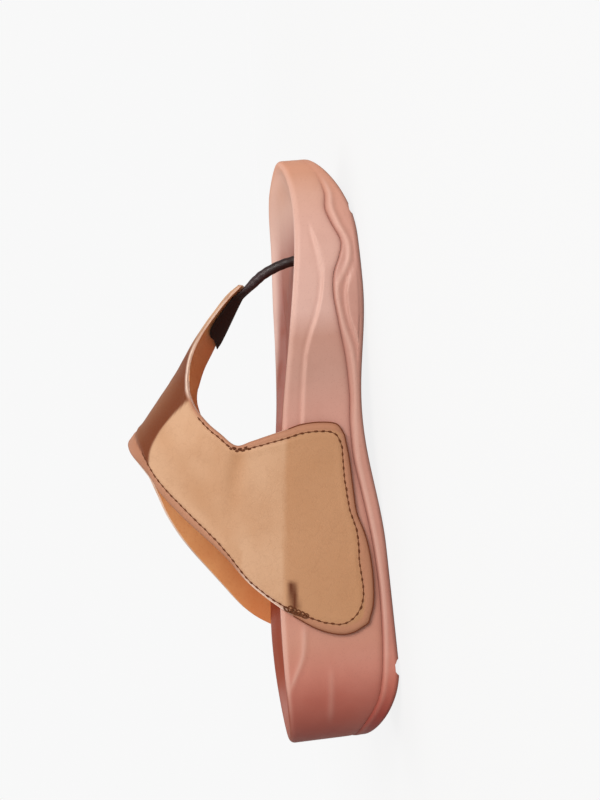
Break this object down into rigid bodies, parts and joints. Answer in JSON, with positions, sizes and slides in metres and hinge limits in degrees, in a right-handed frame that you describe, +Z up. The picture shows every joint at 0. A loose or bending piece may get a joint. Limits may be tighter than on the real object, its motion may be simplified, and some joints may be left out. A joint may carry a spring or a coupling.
{
  "type": "thong sandal",
  "caption": "Left kolhapuri-style thong sandal: tan leather upper of broad joined side panels with a tongue to a dark toe post, on a thick waved wedge sole.",
  "frame": {"origin": "on the floor, under the middle of the sandal's bounding box", "axes": "+X towards the toe, +Y towards the outer (lateral) side of the left foot, +Z up"},
  "size_m": [0.25, 0.0895, 0.1028],
  "materials": {
    "outsole": "moulded foam rubber, dusty pink, satin",
    "footbed": "moulded foam rubber, dusty pink, satin",
    "upper": "smooth tan leather",
    "toe_post": "smooth dark brown leather"
  },
  "bodies": {
    "root": {"outsole": "outsole", "footbed_body": "footbed", "upper": "upper", "toe_post": "toe_post"}
  },
  "joints": []
}
